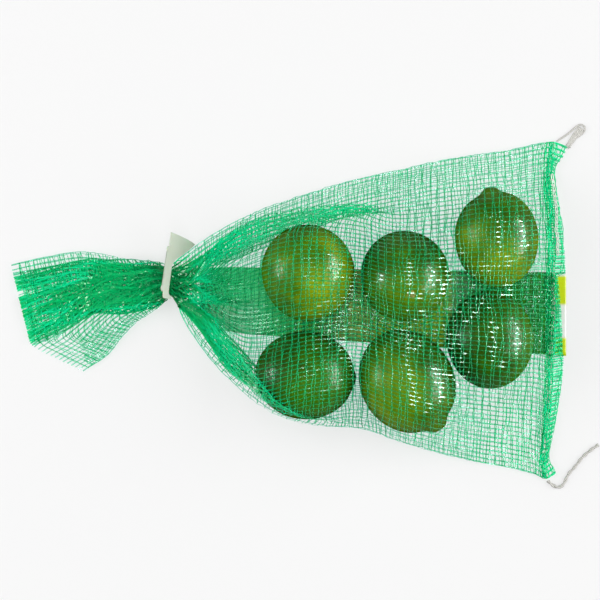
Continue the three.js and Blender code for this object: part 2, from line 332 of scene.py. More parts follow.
# Its outline, across and along: two break-off nibs, the bridge and its two legs. Where two points stand
# together, the outline bends towards the first and ends at the second.
TAB_OUTLINE = [
    (1.0, -2.2), (5.2, -2.2), (5.2, -0.6), ((3.2, -0.4), (3.0, 2.0)), (3.0, 16.0), (5.0, 19.4),
    (11.0, 23.4), (20.6, 29.2), (0.0, 33.8), (0.0, 26.2), ((-1.2, 26.0), (-1.2, 24.6)),
    ((-1.2, 23.2), (0.0, 23.0)), (0.0, 5.4), ((-1.6, 5.0), (-1.5, 3.2)), ((-1.4, 1.6), (0.0, 1.2)),
    ((0.0, -2.2), (1.0, -2.2)),
]

# Ends of the seam's thread: radius of the whole, and of the plies in it
THREAD_STEPS = 12
THREAD_LOOP = dict(radius=0.6, plies=3, ply=0.38, turn=5.0)
THREAD_TAIL = dict(radius=1.0, plies=2, ply=0.55, turn=8.8)
THREAD_LOOP_ROUTE = [
    (147.2, 92.9, 1.2), (149.0, 94.2, 0.9), (151.2, 95.6, 0.75), (153.2, 97.0, 0.75),
    (155.0, 98.5, 0.75), (156.7, 100.0, 0.75), (158.4, 101.4, 0.75), (160.4, 102.1, 0.75),
    (162.2, 101.2, 0.75), (162.6, 99.2, 0.75), (161.4, 97.4, 0.75), (159.6, 96.0, 0.75),
    (157.7, 94.7, 0.75), (156.0, 93.0, 0.75), (154.9, 91.0, 0.9), (154.3, 89.6, 1.2),
]
THREAD_TAIL_ROUTE = [
    (142.2, -93.6, 1.4), (143.8, -95.1, 1.2), (145.6, -96.4, 1.15), (147.6, -97.1, 1.15),
    (149.6, -96.6, 1.15), (151.0, -95.1, 1.15), (152.0, -93.1, 1.15), (153.0, -91.0, 1.15),
    (154.3, -89.0, 1.15), (156.0, -87.2, 1.15), (157.6, -85.3, 1.15), (159.2, -83.3, 1.15),
    (160.7, -81.3, 1.15), (162.5, -79.5, 1.15), (164.5, -77.8, 1.15), (166.4, -76.3, 1.15),
    (168.3, -74.9, 1.15), (170.0, -73.8, 1.15),
]

# Strands in the upper thread's loop: both ends of their middle, their places beside it and radius
CHAIN_ENDS = ((152.7, 89.6, 0.7), (160.6, 100.4, 0.75))
CHAIN_STRANDS = (-1.5, -0.5, 0.5, 1.5)
CHAIN_SPREAD = (0.45, 0.6, 0.3)
CHAIN_SWAY = 0.1
CHAIN_RADIUS = 0.55

# Camera over the middle of the photograph, which spans FRAME_WIDTH on the table
CAMERA_OVER = (5.735, 5.735)
CAMERA_HEIGHT = 1200.0
FRAME_WIDTH = 330.0
SENSOR = 36.0

# The frame's origin is under the middle of the bag's box, a little off the sizes' own origin
band_corner = np.array(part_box("label_band")[1])
SHIFT = np.append(band_corner[:2] / MM - np.max(BAND_OUTLINE, axis=0), 0.0)

draw = np.random.default_rng(7)


def placed(points):
    """Points in the sizes' own millimetres as metres in the frame."""
    return (np.asarray(points, dtype=float) + SHIFT) * MM


def unit(vectors):
    """The same directions with a length of one."""
    size = np.linalg.norm(vectors, axis=-1, keepdims=True)
    return vectors / np.maximum(size, 1e-9)


def smooth_noise(shape, reach):
    """Random field of about unit strength that changes slowly along each axis, by reach steps."""
    field = draw.normal(size=shape)
    for axis, steps in enumerate(reach):
        for _ in range(steps):
            before = np.roll(field, 1, axis)
            after = np.roll(field, -1, axis)
            field = 0.5 * field + 0.25 * (before + after)
    return field / field.std()


def through(stations, places):
    """Points of the centripetal curve through stations, at places counted in stations."""
    points = np.asarray(stations, dtype=float)
    points = np.vstack([2 * points[0] - points[1], points, 2 * points[-1] - points[-2]])
    gaps = np.linalg.norm(np.diff(points, axis=0), axis=1) ** 0.5
    first = np.clip(np.floor(places).astype(int), 0, len(points) - 4)
    part = (places - first)[:, None]
    p0, p1, p2, p3 = (points[first + k] for k in range(4))
    g0, g1, g2 = (gaps[first + k][:, None] for k in range(3))
    leave = g1 * ((p1 - p0) / g0 - (p2 - p0) / (g0 + g1) + (p2 - p1) / g1)
    reach = g1 * ((p2 - p1) / g1 - (p3 - p1) / (g1 + g2) + (p3 - p2) / g2)
    square, cube = part ** 2, part ** 3
    start = (2 * cube - 3 * square + 1) * p1 + (cube - 2 * square + part) * leave
    return start + (3 * square - 2 * cube) * p2 + (cube - square) * reach


def distances(line):
    """Distance of every point along a line from its first."""
    return np.append(0, np.cumsum(np.linalg.norm(np.diff(line, axis=0), axis=1)))


def points_at(wanted, places, points):
    """Points of a line where they are wanted, from those at places along it."""
    return np.stack([np.interp(wanted, places, column) for column in points.T], axis=-1)


def evenly(stations, shares):
    """Points of that curve at shares of its length."""
    fine = through(stations, np.linspace(0, len(stations) - 1, 400))
    lengths = distances(fine)
    return points_at(shares, lengths / lengths[-1], fine)


def lime_axis(lime):
    """Direction of a lime's raised end."""
    heading, tilt = math.radians(lime.heading), math.radians(lime.tilt)
    level = math.cos(tilt)
    return np.array([level * math.cos(heading), level * math.sin(heading), math.sin(tilt)])


def lime_centre(lime):
    """Middle of a lime that lies on the netting's back layer."""
    rise = lime_axis(lime)[2]
    half_height = math.sqrt(lime.across ** 2 + rise ** 2 * (lime.along ** 2 - lime.across ** 2))
    return np.array([lime.x, lime.y, LIME_BASE + half_height])


def lime_surface(lime, x, y, side):
    """Height of a lime's upper or lower side over the plan, not a number outside its outline."""
    axis_x, axis_y, rise = lime_axis(lime)
    off_x, off_y = x - lime.x, y - lime.y
    flat = off_x * axis_x + off_y * axis_y
    thin, stretch = lime.across ** -2, lime.along ** -2 - lime.across ** -2
    a = thin + stretch * rise ** 2
    b = 2 * stretch * rise * flat
    c = (off_x ** 2 + off_y ** 2) * thin + stretch * flat ** 2 - 1
    root = b * b - 4 * a * c
    inside = np.where(root >= 0, root, np.nan)
    return lime_centre(lime)[2] + (-b + side * np.sqrt(inside)) / (2 * a)


def share_of_lime(lime, places, clearance=0.0, nipple_room=0.0):
    """How far places lie from a lime's middle: one on its peel, or at a clearance from it."""
    axis = lime_axis(lime)
    from_middle = places - lime_centre(lime)
    along = from_middle @ axis
    across = np.linalg.norm(from_middle - along[..., None] * axis, axis=-1)
    length = lime.along + np.where(along > 0, nipple_room * lime.nipple, 0.0) + clearance
    return np.sqrt((along / length) ** 2 + (across / (lime.across + clearance)) ** 2)


# Plan of the bag: rows across it from the tail's cut end to the hem, columns from upper to lower edge

def tail_rows():
    """Mid surface of the tail, and its half thickness."""
    count = round(TAIL_LENGTH / PAIR_PITCH)
    shares = np.linspace(0, 1, count + 1)
    upper, corner, lower = (evenly(rail, shares) for rail in (TAIL_UPPER, TAIL_CORNER, TAIL_LOWER))
    across = np.linspace(0, 1, COLUMNS + 1)
    middle = np.zeros((count + 1, COLUMNS + 1, 3))
    thick = np.zeros((count + 1, COLUMNS + 1))
    for row, share in enumerate(shares):
        knots = np.array([upper[row], corner[row], lower[row]])
        lengths = distances(knots)
        lengths /= lengths[-1]
        middle[row] = eased(points_at(across, lengths, knots), CORNER_EASING)
        power = FAN_SQUARENESS + (NECK_SQUARENESS - FAN_SQUARENESS) * share
        half = FAN_HALF_HEIGHT + (NECK_HALF_HEIGHT - FAN_HALF_HEIGHT) * share ** 2
        half *= CUT_END_HEIGHT + (1 - CUT_END_HEIGHT) * min(1, CUT_END_TAPER * share)
        flap = 1 - FLAP_THINNING * (1 - share) * np.clip((across - lengths[1]) / FLAP_BLEND, 0, 1)
        thick[row] = half * flap * np.sqrt(1 - np.abs(2 * across - 1) ** power)
    return middle, thick


def body_rows():
    """Edges of the body's rows past the neck, drawn straight across and bowed at the hem."""
    stations = np.asarray(BODY_STATIONS)
    fine = np.linspace(0, len(stations) - 1, 600)
    middle = 0.5 * (through(stations[:, :3], fine) + through(stations[:, 3:], fine))
    lengths = distances(middle[:, :2])
    last = lengths[-1] - SEAM_ROWS[-1] - SEAM_MARGIN * PAIR_PITCH
    regular = np.arange(last, 0.5 * PAIR_PITCH, -PAIR_PITCH)[::-1]
    hem = lengths[-1] - np.array((0.0, LAST_PAIR) + SEAM_ROWS)[::-1]
    places = np.interp(np.concatenate([regular, hem]), lengths, fine)
    upper = through(stations[:, :3], places)
    lower = through(stations[:, 3:], places)
    across = np.linspace(0, 1, COLUMNS + 1)
    rows = upper[:, None] + (lower - upper)[:, None] * across[None, :, None]
    near_hem = np.clip(1 - (len(stations) - 1 - places) / HEM_REACH_STATIONS, 0, 1) ** HEM_FADE
    bow = HEM_BOW * np.sin(np.pi * across)
    for place, pull, spread in HEM_PULLS:
        off = (across - place) * math.copysign(1, 0.5 - place)
        inner = np.exp(-np.abs(off / spread) ** HEM_PULL_SHARPNESS)
        bow = bow - pull * np.where(off > 0, inner, np.exp(-(off / HEM_CORNER_SPREAD) ** 2))
    rows[..., 0] += near_hem[:, None] * bow
    return rows


def drape(plan, heights, sag, lowest, highest):
    """Stretched sheet between its fixed border heights, kept above lowest and below highest."""
    along = 1 / (np.diff(plan[..., :2], axis=0) ** 2).sum(axis=-1)
    across = 1 / (np.diff(plan[..., :2], axis=1) ** 2).sum(axis=-1)
    before, after = along[:-1, 1:-1], along[1:, 1:-1]
    left, right = across[1:-1, :-1], across[1:-1, 1:]
    total = before + after + left + right
    for _ in range(SWEEPS):
        pulled = before * heights[:-2, 1:-1] + after * heights[2:, 1:-1]
        pulled += left * heights[1:-1, :-2] + right * heights[1:-1, 2:] - sag
        heights[1:-1, 1:-1] = np.clip(pulled / total, lowest[1:-1, 1:-1], highest[1:-1, 1:-1])
    return heights


def draped_layers():
    """Front and back layer of the netting before its pleats, and the index of the neck's row."""
    tail, thick = tail_rows()
    neck = len(thick) - 1
    plan = np.concatenate([tail[-1:], body_rows()])
    x, y = plan[..., 0], plan[..., 1]
    tops, undersides = (np.array([lime_surface(lime, x, y, side) for lime in LIMES]) for side in (1, -1))
    net_floor = np.maximum(FLAT_NET_TOP, np.nan_to_num(tops, nan=-1.0).max(axis=0) + NET_OVER_LIME)
    lowest_lime = np.nan_to_num(undersides, nan=NO_CEILING).min(axis=0)
    ceiling = np.maximum(BACK_HEIGHT, lowest_lime - BACK_UNDER_LIME)
    front = (1, NET_SAG, net_floor, np.full_like(x, NO_CEILING))
    back = (-1, BACK_SAG, np.full_like(x, BACK_HEIGHT), ceiling)
    layers = []
    for side, sag, lowest, highest in (front, back):
        heights = plan[..., 2].copy()
        heights[0] += side * thick[-1]
        sheet = np.concatenate([tail[:-1], plan])
        sheet[:neck, :, 2] += side * thick[:-1]
        sheet[neck:, :, 2] = drape(plan, heights, sag, lowest, highest)
        if side > 0:
            sheet[..., 2] += folds_at_neck(sheet, neck)
        sheet[..., 2] = np.maximum(sheet[..., 2], FAN_LOWEST)
        layers.append(sheet)
    return layers, neck


def folds_at_neck(sheet, neck):
    """Rise and fall of the folds that radiate from the neck."""
    across = np.linspace(0, 1, COLUMNS + 1)[None]
    away = np.abs(sheet[..., 0] - sheet[neck, 0, 0])
    from_cut = np.minimum(1, CUT_END_TAPER * np.arange(len(sheet)) / neck)[:, None]
    height = FOLD_HEIGHT * np.exp(-away / FOLD_FADE) * from_cut
    return height * np.cos(2 * np.pi * FOLDS * across) * np.sin(np.pi * across)


# Weave: where each tape crosses each row

def eased(values, passes):
    """Values evened out along the bag, with both ends kept."""
    values = np.array(values, dtype=float)
    for _ in range(passes):
        values[1:-1] = 0.5 * values[1:-1] + 0.25 * (values[:-2] + values[2:])
    return values


def looked_up(table, x):
    """Columns of a table of places along the bag, at x."""
    places, *columns = np.array(table, dtype=float).T
    return np.stack([np.interp(x, places, column) for column in columns])


def pleats_of(name, x, width):
    """Middle and depth of every pleat of a row at x, from the upper edge down."""
    spare = max(0.0, (CELLS * looked_up(CELL_WIDTHS, x)[0] - width) / 2)
    upper, upper_depth = looked_up(UPPER_PLEAT, x)
    lower, lower_depth = looked_up(LOWER_PLEAT, x)
    upper_depth = min(upper_depth, 0.5 * spare + UPPER_PLEAT_EXTRA, spare)
    lower_depth = min(lower_depth, spare - upper_depth)
    rest = (spare - upper_depth - lower_depth) / 3
    shares = FRONT_PLEATS if name == "front" else BACK_PLEATS
    middles = [upper, *(looked_up(shares, x) * width), width - lower]
    return np.array(middles), np.array([upper_depth, rest, rest, rest, lower_depth])


def folded(width, middles, depths):
    """Distances across a row, and the layers under each, for the netting laid in its pleats."""
    netting, place = [0.0], [0.0]
    turns = []
    for middle, depth in zip(middles, depths):
        for goal in (middle + depth / 2, middle - depth / 2):
            netting.append(netting[-1] + abs(goal - place[-1]))
            place.append(goal)
        turns.append(netting[-1] - depth)
    netting.append(netting[-1] + abs(width - place[-1]))
    place.append(width)
    steps = np.linspace(0, netting[-1], CELLS + 1)
    lift = np.zeros(CELLS + 1)
    for turn, depth in zip(turns, depths):
        settles, flat = 2 * depth + np.array(PLEAT_SETTLES)
        knots = turn + np.array([-PLEAT_LEAD, 0, 0.5 * depth, depth, 1.5 * depth, settles, flat])
        lift += min(1, depth / 2) * np.interp(steps, knots, [0, 0.5, 1, 1.5, 2, 2, 0])
    return np.interp(steps, netting, place), lift


def laid_in_pleats(name, x, widths):
    """Share of its row's width at every crossing, and the layers under it."""
    pleats = [pleats_of(name, *row) for row in zip(x, widths)]
    middles = eased([middle for middle, depth in pleats], PLEAT_EASING)
    depths = eased([depth for middle, depth in pleats], PLEAT_EASING)
    laid = [folded(*row) for row in zip(widths, middles, depths)]
    shares = eased([steps / width for (steps, lift), width in zip(laid, widths)], SHARE_EASING)
    return shares, eased([lift for steps, lift in laid], LIFT_EASING)


def gathered_and_shaded(gathered, places, shares, neck):
    """How gathered the netting is, counting the seam, the ladder past it and the drawn net, plus painted
    shade at the neck, in its folds' hollows and on the seam over the band.
    """
    seam = slice(-1 - len(SEAM_ROWS), -2)
    x, y = places[..., 0], places[seam, :, 1]
    # Painted shade: over the band's end the seam's rows are pushed past one, into the deep green.
    band_shade_mask = (y < BAND_END[0]) & (y > BAND_END[1])
    seam_gather_and_shade = np.where(band_shade_mask, np.array(SEAM_SHADE_ON_BAND)[:, None], SEAM_GATHER)
    gathered[seam] = np.maximum(gathered[seam], seam_gather_and_shade)
    gathered[-2:] = np.maximum(gathered[-2:], LADDER_GATHER)
    gathered = np.maximum(gathered, looked_up(DRAWN_NET, x)[0])
    # Painted shade: darker netting at the neck and in the hollows of its folds, added to how gathered it
    # counts.
    away = np.abs(x - x[neck].mean())
    gathered += NECK_SHADE * np.exp(-(away / NECK_SHADE_REACH) ** 2)
    fold_shade_mask = np.clip(-np.cos(2 * np.pi * FOLDS * shares), 0, 1)
    return gathered + FOLD_SHADE * fold_shade_mask * np.exp(-away / FOLD_SHADE_REACH) * np.minimum(1, gathered)


def weave(name, sheet, side, neck):
    """Crossings of tapes and rows on one layer: places, normals, directions across and how gathered, painted
    shade included.
    """
    along = np.gradient(sheet, axis=0)
    across = unit(np.gradient(sheet, axis=1))
    normal = side * unit(np.cross(across, along))
    steps_up = np.diff(sheet, axis=1) * np.array([1, 1, RISE_SHARE])
    reach = np.cumsum(np.linalg.norm(steps_up, axis=2), axis=1)
    reach = np.concatenate([np.zeros((len(sheet), 1)), reach], axis=1)
    widths = reach[:, -1]
    shares, lifts = laid_in_pleats(name, sheet[..., 0].mean(axis=1), widths)
    places, normals, sideways = (np.zeros((len(sheet), CELLS + 1, 3)) for _ in range(3))
    gathered = np.zeros((len(sheet), CELLS + 1))
    few, many = GATHER_COUNTS
    level, risen = LAYER_GAP_ROWS
    for row, width in enumerate(widths):
        steps = shares[row] * width
        if side < 0:
            steps = steps + BACK_OFFSET * np.minimum(1, BACK_OFFSET_FADE * shares[row] * (1 - shares[row]))
        near = (np.abs(steps[:, None] - steps[None]) < GATHER_REACH).sum(axis=1)
        gathered[row] = np.clip((near - few) / (many - few), 0, 1)
        for target, source in ((places, sheet), (normals, normal), (sideways, across)):
            target[row] = points_at(steps, reach[row], source[row])
        outward = np.clip((abs(row - neck) - level) / risen, -1, 1)
        places[row] += normals[row] * (outward * LAYER_GAP * lifts[row])[:, None]
    gathered = eased(gathered, GATHER_EASING)
    rows = np.arange(len(sheet))
    from_ends = np.minimum(rows, np.maximum(len(rows) - 2 - len(SEAM_ROWS) - rows, 0))
    free = np.minimum(1, from_ends / SKEW_ROWS)[:, None]
    skew = FOLD_SKEW * lifts * np.minimum(1, SKEW_GATHER * gathered) + (BACK_SKEW if side < 0 else 0.0)
    places += unit(along).mean(axis=1, keepdims=True) * (skew * free)[..., None]
    loose = (free * gathered)[..., None]
    places += loose * smooth_noise(places.shape, (1, 2, 0)) * np.array(LOOSE_JITTER)
    return places, unit(normals), unit(sideways), gathered_and_shaded(gathered, places, shares, neck)


def clear_of_limes(places, clearance):
    """Places moved straight out of every lime, to a clearance from its peel."""
    for lime in LIMES:
        share = share_of_lime(lime, places, clearance, NIPPLE_ROOM)
        push = np.where(share < 1, 1 / np.maximum(share, LEAST_SHARE), 1.0)
        places = lime_centre(lime) + (places - lime_centre(lime)) * push[..., None]
    return places


def slackness(places):
    """How loose the netting is: none where it is stretched over a lime, full away from them all."""
    nearest = np.min([share_of_lime(lime, places) for lime in LIMES], axis=0)
    return np.clip((nearest - SLACK_STARTS) / SLACK_GROWS_OVER, 0, 1)


def trimmed(places):
    """Tapes' ends and last pair drawn back where the band's end shows past the hem."""
    y = places[-1, :, 1]
    upper, lower = BAND_END
    share = (upper - y) / (upper - lower)
    trim = np.where((share > 0) & (share < 1), TRIM[0] + (TRIM[1] - TRIM[0]) * share, 0.0)
    places[-2:, :, 0] -= trim
    return places


def left_out(name, places):
    """Places of a layer with those in the cut end's slit, and in front on the flap, marked as missing."""
    x, y = places[..., 0], places[..., 1]
    reach, middle, half = SLIT
    missing = (x < reach) & (np.abs(y - middle) < half)
    if name == "front":
        (top_x, top_y), (foot_x, foot_y) = FLAP_LINE
        left = x < top_x + (top_y - y) * (foot_x - top_x) / (top_y - foot_y)
        below = y < TAIL_CORNER[0][1] + FLAP_SLOPE * (x - TAIL_CORNER[0][0]) - FLAP_MARGIN
        missing |= left & below
    return np.where(missing[..., None], np.nan, places)


# Meshes

def as_object(bm, name, material):
    """Object at the origin from a bmesh."""
    mesh = bpy.data.meshes.new(name)
    bm.to_mesh(mesh)
    bm.free()
    mesh.materials.append(material)
    made = bpy.data.objects.new(name, mesh)
    bpy.context.collection.objects.link(made)
    return made


def finished(bm, name, material, replaced=(), sharpest=180):
    """Piece from a bmesh, riding on the bag, shaded smooth over edges up to an angle in degrees."""
    piece = as_object(bm, name, material)
    if sharpest:
        piece.data.polygons.foreach_set("use_smooth", [True] * len(piece.data.polygons))
    if 0 < sharpest < 180:
        piece.data.set_sharp_from_angle(angle=math.radians(sharpest))
    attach(piece, "root")
    if replaced:
        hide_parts(*replaced)
    return piece


def ribbons(count, width, points):
    """Flat ribbons side by side, each some faces wide, cut out of one grid."""
    wide = count * (width + 1) - 1
    bm = bmesh.new()
    bmesh.ops.create_grid(bm, x_segments=wide, y_segments=points - 1, size=1.0)
    bm.faces.index_update()
    gaps = [face for face in bm.faces if face.index % wide % (width + 1) == width]
    bmesh.ops.delete(bm, geom=gaps, context="FACES")
    return bm


def strips(middle, half, thickness, gathered):
    """Flat strips along middle[point, strip], as wide to each side as half. Missing points are left out."""
    bm = ribbons(middle.shape[1], 1, len(middle))
    spots = placed(np.stack([middle - half, middle + half], axis=2).reshape(-1, 3))
    missing = []
    # The gathered value carries painted shade too: at the neck, in the folds' hollows and on the seam over
    # the band.
    mark = bm.verts.layers.float.new("gathered")
    for vert, spot, share in zip(bm.verts, spots, np.repeat(gathered.reshape(-1), 2)):
        vert[mark] = share
        if np.isnan(spot[0]):
            missing.append(vert)
        else:
            vert.co = spot
    bmesh.ops.delete(bm, geom=missing, context="VERTS")
    bm.normal_update()
    skin = set(bm.verts)
    bmesh.ops.solidify(bm, geom=bm.faces[:], thickness=thickness * MM)
    for edge in bm.edges:
        kept = [vert for vert in edge.verts if vert in skin]
        if len(kept) == 1:
            other = edge.other_vert(kept[0])
            step = other.co - kept[0].co
            other.co = kept[0].co + step * min(1.0, STEEPEST * thickness * MM / max(step.length, 1e-9))
    return bm


def round_about(ahead, angle):
    """Directions out from a line that goes ahead, at an angle round it."""
    ahead = unit(ahead)
    side = unit(np.cross((0.0, 0.0, 1.0), ahead))
    return np.cos(angle) * side + np.sin(angle) * np.cross(ahead, side)


def tubes(lines, radius, ring, closed=False):
    """Round tubes along lines[tube, point], open ones capped."""
    if closed:
        ahead = np.roll(lines, -1, axis=1) - np.roll(lines, 1, axis=1)
        ahead = np.concatenate([ahead, ahead[:, :1]], axis=1)
        lines = np.concatenate([lines, lines[:, :1]], axis=1)
    else:
        ahead = np.gradient(lines, axis=1)
    turns = np.linspace(0, 2 * np.pi, ring + 1)[:, None, None, None]
    rings = lines + radius * round_about(ahead, turns)
    bm = ribbons(len(lines), ring, lines.shape[1])
    for vert, spot in zip(bm.verts, placed(rings.transpose(2, 1, 0, 3).reshape(-1, 3))):
        vert.co = spot
    bmesh.ops.remove_doubles(bm, verts=bm.verts[:], dist=1e-7)
    bmesh.ops.holes_fill(bm, edges=[edge for edge in bm.edges if edge.is_boundary], sides=ring)
    bmesh.ops.recalc_face_normals(bm, faces=bm.faces[:])
    return bm


def cut_across(bm, axis, place):
    """Edges added to a sheet where a plane across an axis meets it."""
    geometry = bm.verts[:] + bm.edges[:] + bm.faces[:]
    bmesh.ops.bisect_plane(bm, geom=geometry, plane_co=Vector(axis) * place, plane_no=axis)


def thickened(bm, thickness):
    """Sheet turned face up and given a thickness."""
    bm.normal_update()
    for face in bm.faces:
        if face.normal.z < 0:
            face.normal_flip()
    bm.normal_update()
    bmesh.ops.solidify(bm, geom=bm.faces[:], thickness=thickness)


# Materials

def surface(name):
    """New material with its node tree and main shader."""
    material = bpy.data.materials.new(name)
    material.use_nodes = True
    return material, material.node_tree, material.node_tree.nodes["Principled BSDF"]


def fill(tree, node, inputs):
    """Inputs of a node set to plain values, or linked to the outputs of others."""
    for socket, value in inputs.items():
        if isinstance(value, bpy.types.NodeSocket):
            tree.links.new(value, node.inputs[socket])
        else:
            node.inputs[socket].default_value = value


def added(tree, kind, inputs, output=0, **settings):
    """Output of a new node with its settings and inputs."""
    node = tree.nodes.new(f"ShaderNode{kind}")
    for name, value in settings.items():
        setattr(node, name, value)
    fill(tree, node, inputs)
    return node.outputs[output]


def noise_on_object(tree, stretch, detail=3.0):
    """Noise over Object coordinates, with its own scale along each axis, per metre."""
    spots = added(tree, "TexCoord", {}, "Object")
    stretched = added(tree, "Mapping", {"Vector": spots, "Scale": stretch})
    return added(tree, "TexNoise", {"Vector": stretched, "Scale": 1.0, "Detail": detail}, "Fac")


def colours(tree, factor, stops):
    """Colour ramp over a factor."""
    ramp = tree.nodes.new("ShaderNodeValToRGB")
    elements = ramp.color_ramp.elements
    while len(elements) < len(stops):
        elements.new(0.5)
    for element, (place, colour) in zip(elements, stops):
        element.position = place
        element.color = (*colour, 1.0)
    fill(tree, ramp, {"Fac": factor})
    return ramp.outputs["Color"]


def relief(tree, height, strength, distance):
    """Normals of a fine relief."""
    return added(tree, "Bump", {"Height": height, "Strength": strength, "Distance": distance})


def ranged(tree, share, first, last, start=0.0, end=1.0):
    """Value that goes from start to end while a share goes from first to last."""
    ends = {"From Min": first, "From Max": last, "To Min": start, "To Max": end}
    return added(tree, "MapRange", {"Value": share, **ends})


def blended(tree, share, first, second):
    """Colour that goes from first to second with a share. Each is a plain colour or an output."""
    pair = [(*colour, 1.0) if isinstance(colour, tuple) else colour for colour in (first, second)]
    return added(tree, "Mix", {0: share, 6: pair[0], 7: pair[1]}, 2, data_type="RGBA")


def netting_finish(name, greens, cover, tint, ior):
    """Thin glossy yarn of see-through green plastic, drawn out along the bag, dense where gathered and
    painted darker where the gathered value carries painted shade.
    """
    material, tree, shader = surface(name)
    gathered = added(tree, "Attribute", {}, "Fac", attribute_name="gathered")
    streaks = noise_on_object(tree, (160.0, 1400.0, 900.0))
    tone = colours(tree, streaks, [(0.3, greens[0]), (0.7, greens[1])])
    # The last tone, past one, is painted shade.
    for first, last, colour in GATHERED_AND_SHADED_TONES:
        tone = blended(tree, ranged(tree, gathered, first, last), tone, colour)
    fill(tree, shader, {
        "Base Color": tone,
        "IOR": ior,
        "Roughness": ranged(tree, gathered, 0.0, 1.0, 0.15, 0.17),
        "Specular IOR Level": ranged(tree, gathered, 0.0, 0.22, 0.5, 0.07),
    })
    film_tint = blended(tree, ranged(tree, gathered, 0.3, 0.9), tint, GATHERED_TINT)
    film = added(tree, "BsdfTransparent", {"Color": film_tint})
    share = ranged(tree, gathered, 0.2, 1.0, cover, 0.7)
    mix = added(tree, "MixShader", {"Fac": share, 1: film, 2: shader.outputs["BSDF"]})
    fill(tree, tree.nodes["Material Output"], {"Surface": mix})
    return material


def tape_finish():
    """Flat tapes: clear green film."""
    greens = ((0.003, 0.42, 0.12), (0.01, 0.52, 0.17))
    return netting_finish("green_tape", greens, 0.18, (0.7, 0.96, 0.89), 2.35)


def pair_finish():
    """Thin twisted yarns: the same film, denser."""
    greens = ((0.008, 0.5, 0.18), (0.022, 0.62, 0.24))
    return netting_finish("green_yarn", greens, 0.32, (0.5, 0.92, 0.78), 1.7)


def peel_finish(name, lime):
    """Waxy lime peel with pores, clouds of darker green and a yellower blush."""
    material, tree, shader = surface(name)
    spots = added(tree, "TexCoord", {}, "Object")
    middle = placed(lime.blush).tolist()
    from_blush = added(tree, "VectorMath", {0: spots, 1: middle}, "Value", operation="DISTANCE")
    blush = ranged(tree, from_blush, 0.037, 0.004)
    clouds = noise_on_object(tree, (60.0, 60.0, 60.0), 4.0)
    ripeness = added(tree, "Math", {0: blush, 1: 0.6, 2: clouds}, operation="MULTIPLY_ADD")
    stops = [(place, np.array(dark) + lime.light * np.array(more)) for place, dark, more in PEEL_TONES]
    facing = added(tree, "LayerWeight", {}, "Facing")
    pores = added(tree, "TexVoronoi", {"Vector": spots, "Scale": 620.0}, "Distance")
    fill(tree, shader, {
        "Base Color": colours(tree, ripeness, stops),
        "Roughness": 0.3,
        "Specular IOR Level": ranged(tree, facing, 0.35, 0.75, 0.26, 0.0),
        "Normal": relief(tree, pores, 0.35, 0.0004),
    })
    return material


def fibre_finish(name, stretch, first, second, roughness, strength, depth):
    """Dull fibres in two shades, which are the relief too."""
    material, tree, shader = surface(name)
    fibres = noise_on_object(tree, stretch)
    fill(tree, shader, {
        "Base Color": colours(tree, fibres, [(0.3, first), (0.7, second)]),
        "Roughness": roughness,
        "Normal": relief(tree, fibres, strength, depth),
    })
    return material


def scar_finish():
    """Dry tan wood where the stem was."""
    tans = ((0.2, 0.17, 0.02), (0.46, 0.4, 0.09))
    return fibre_finish("stem_scar", (900.0, 900.0, 900.0), *tans, 0.8, 0.6, 0.0004)


def plastic_finish():
    """Satin moulded plastic, pale green white."""
    material, tree, shader = surface("pale_plastic")
    clouds = noise_on_object(tree, (90.0, 40.0, 90.0))
    grain = noise_on_object(tree, (2500.0, 2500.0, 2500.0))
    fill(tree, shader, {
        "Base Color": colours(tree, clouds, [(0.3, (0.6, 0.67, 0.55)), (0.7, (0.68, 0.74, 0.63))]),
        "Roughness": 0.42,
        "Specular IOR Level": 0.3,
        "Subsurface Weight": 0.1,
        "Subsurface Scale": 0.002,
        "Normal": relief(tree, grain, 0.1, 0.0001),
    })
    return material


def film_finish():
    """Printed film: plain fields of green, olive and pale yellow along the band, and four at its end."""
    material, tree, shader = surface("printed_film")
    spots = added(tree, "TexCoord", {}, "Object")
    x, y = (added(tree, "SeparateXYZ", {"Vector": spots}, axis) for axis in "XY")
    fields = colours(tree, ranged(tree, x, -0.05, 0.153), FILM_FIELDS)
    in_corner = {0: ranged(tree, x, -0.012, -0.02), 1: ranged(tree, y, 0.007, 0.001)}
    corner = added(tree, "Math", in_corner, operation="MULTIPLY")
    end = colours(tree, ranged(tree, y, -0.025, 0.021), FILM_END)
    past_hem = ranged(tree, x, 0.1455, 0.1462)
    grain = noise_on_object(tree, (120.0, 160.0, 120.0))
    fill(tree, shader, {
        "Base Color": blended(tree, past_hem, blended(tree, corner, fields, PALE_CORNER), end),
        "Roughness": 0.3,
        "Specular IOR Level": 0.22,
        "Normal": relief(tree, grain, 0.2, 0.0006),
    })
    return material


def thread_finish(name, shade):
    """Twisted off-white sewing thread, in one shade of white."""
    white = np.array([1.0, 0.98, 0.92])
    whites = (shade * white, (shade + 0.12) * white)
    return fibre_finish(name, (900.0, 1500.0, 1500.0), *whites, 0.75, 0.3, 0.0001)


# Pieces

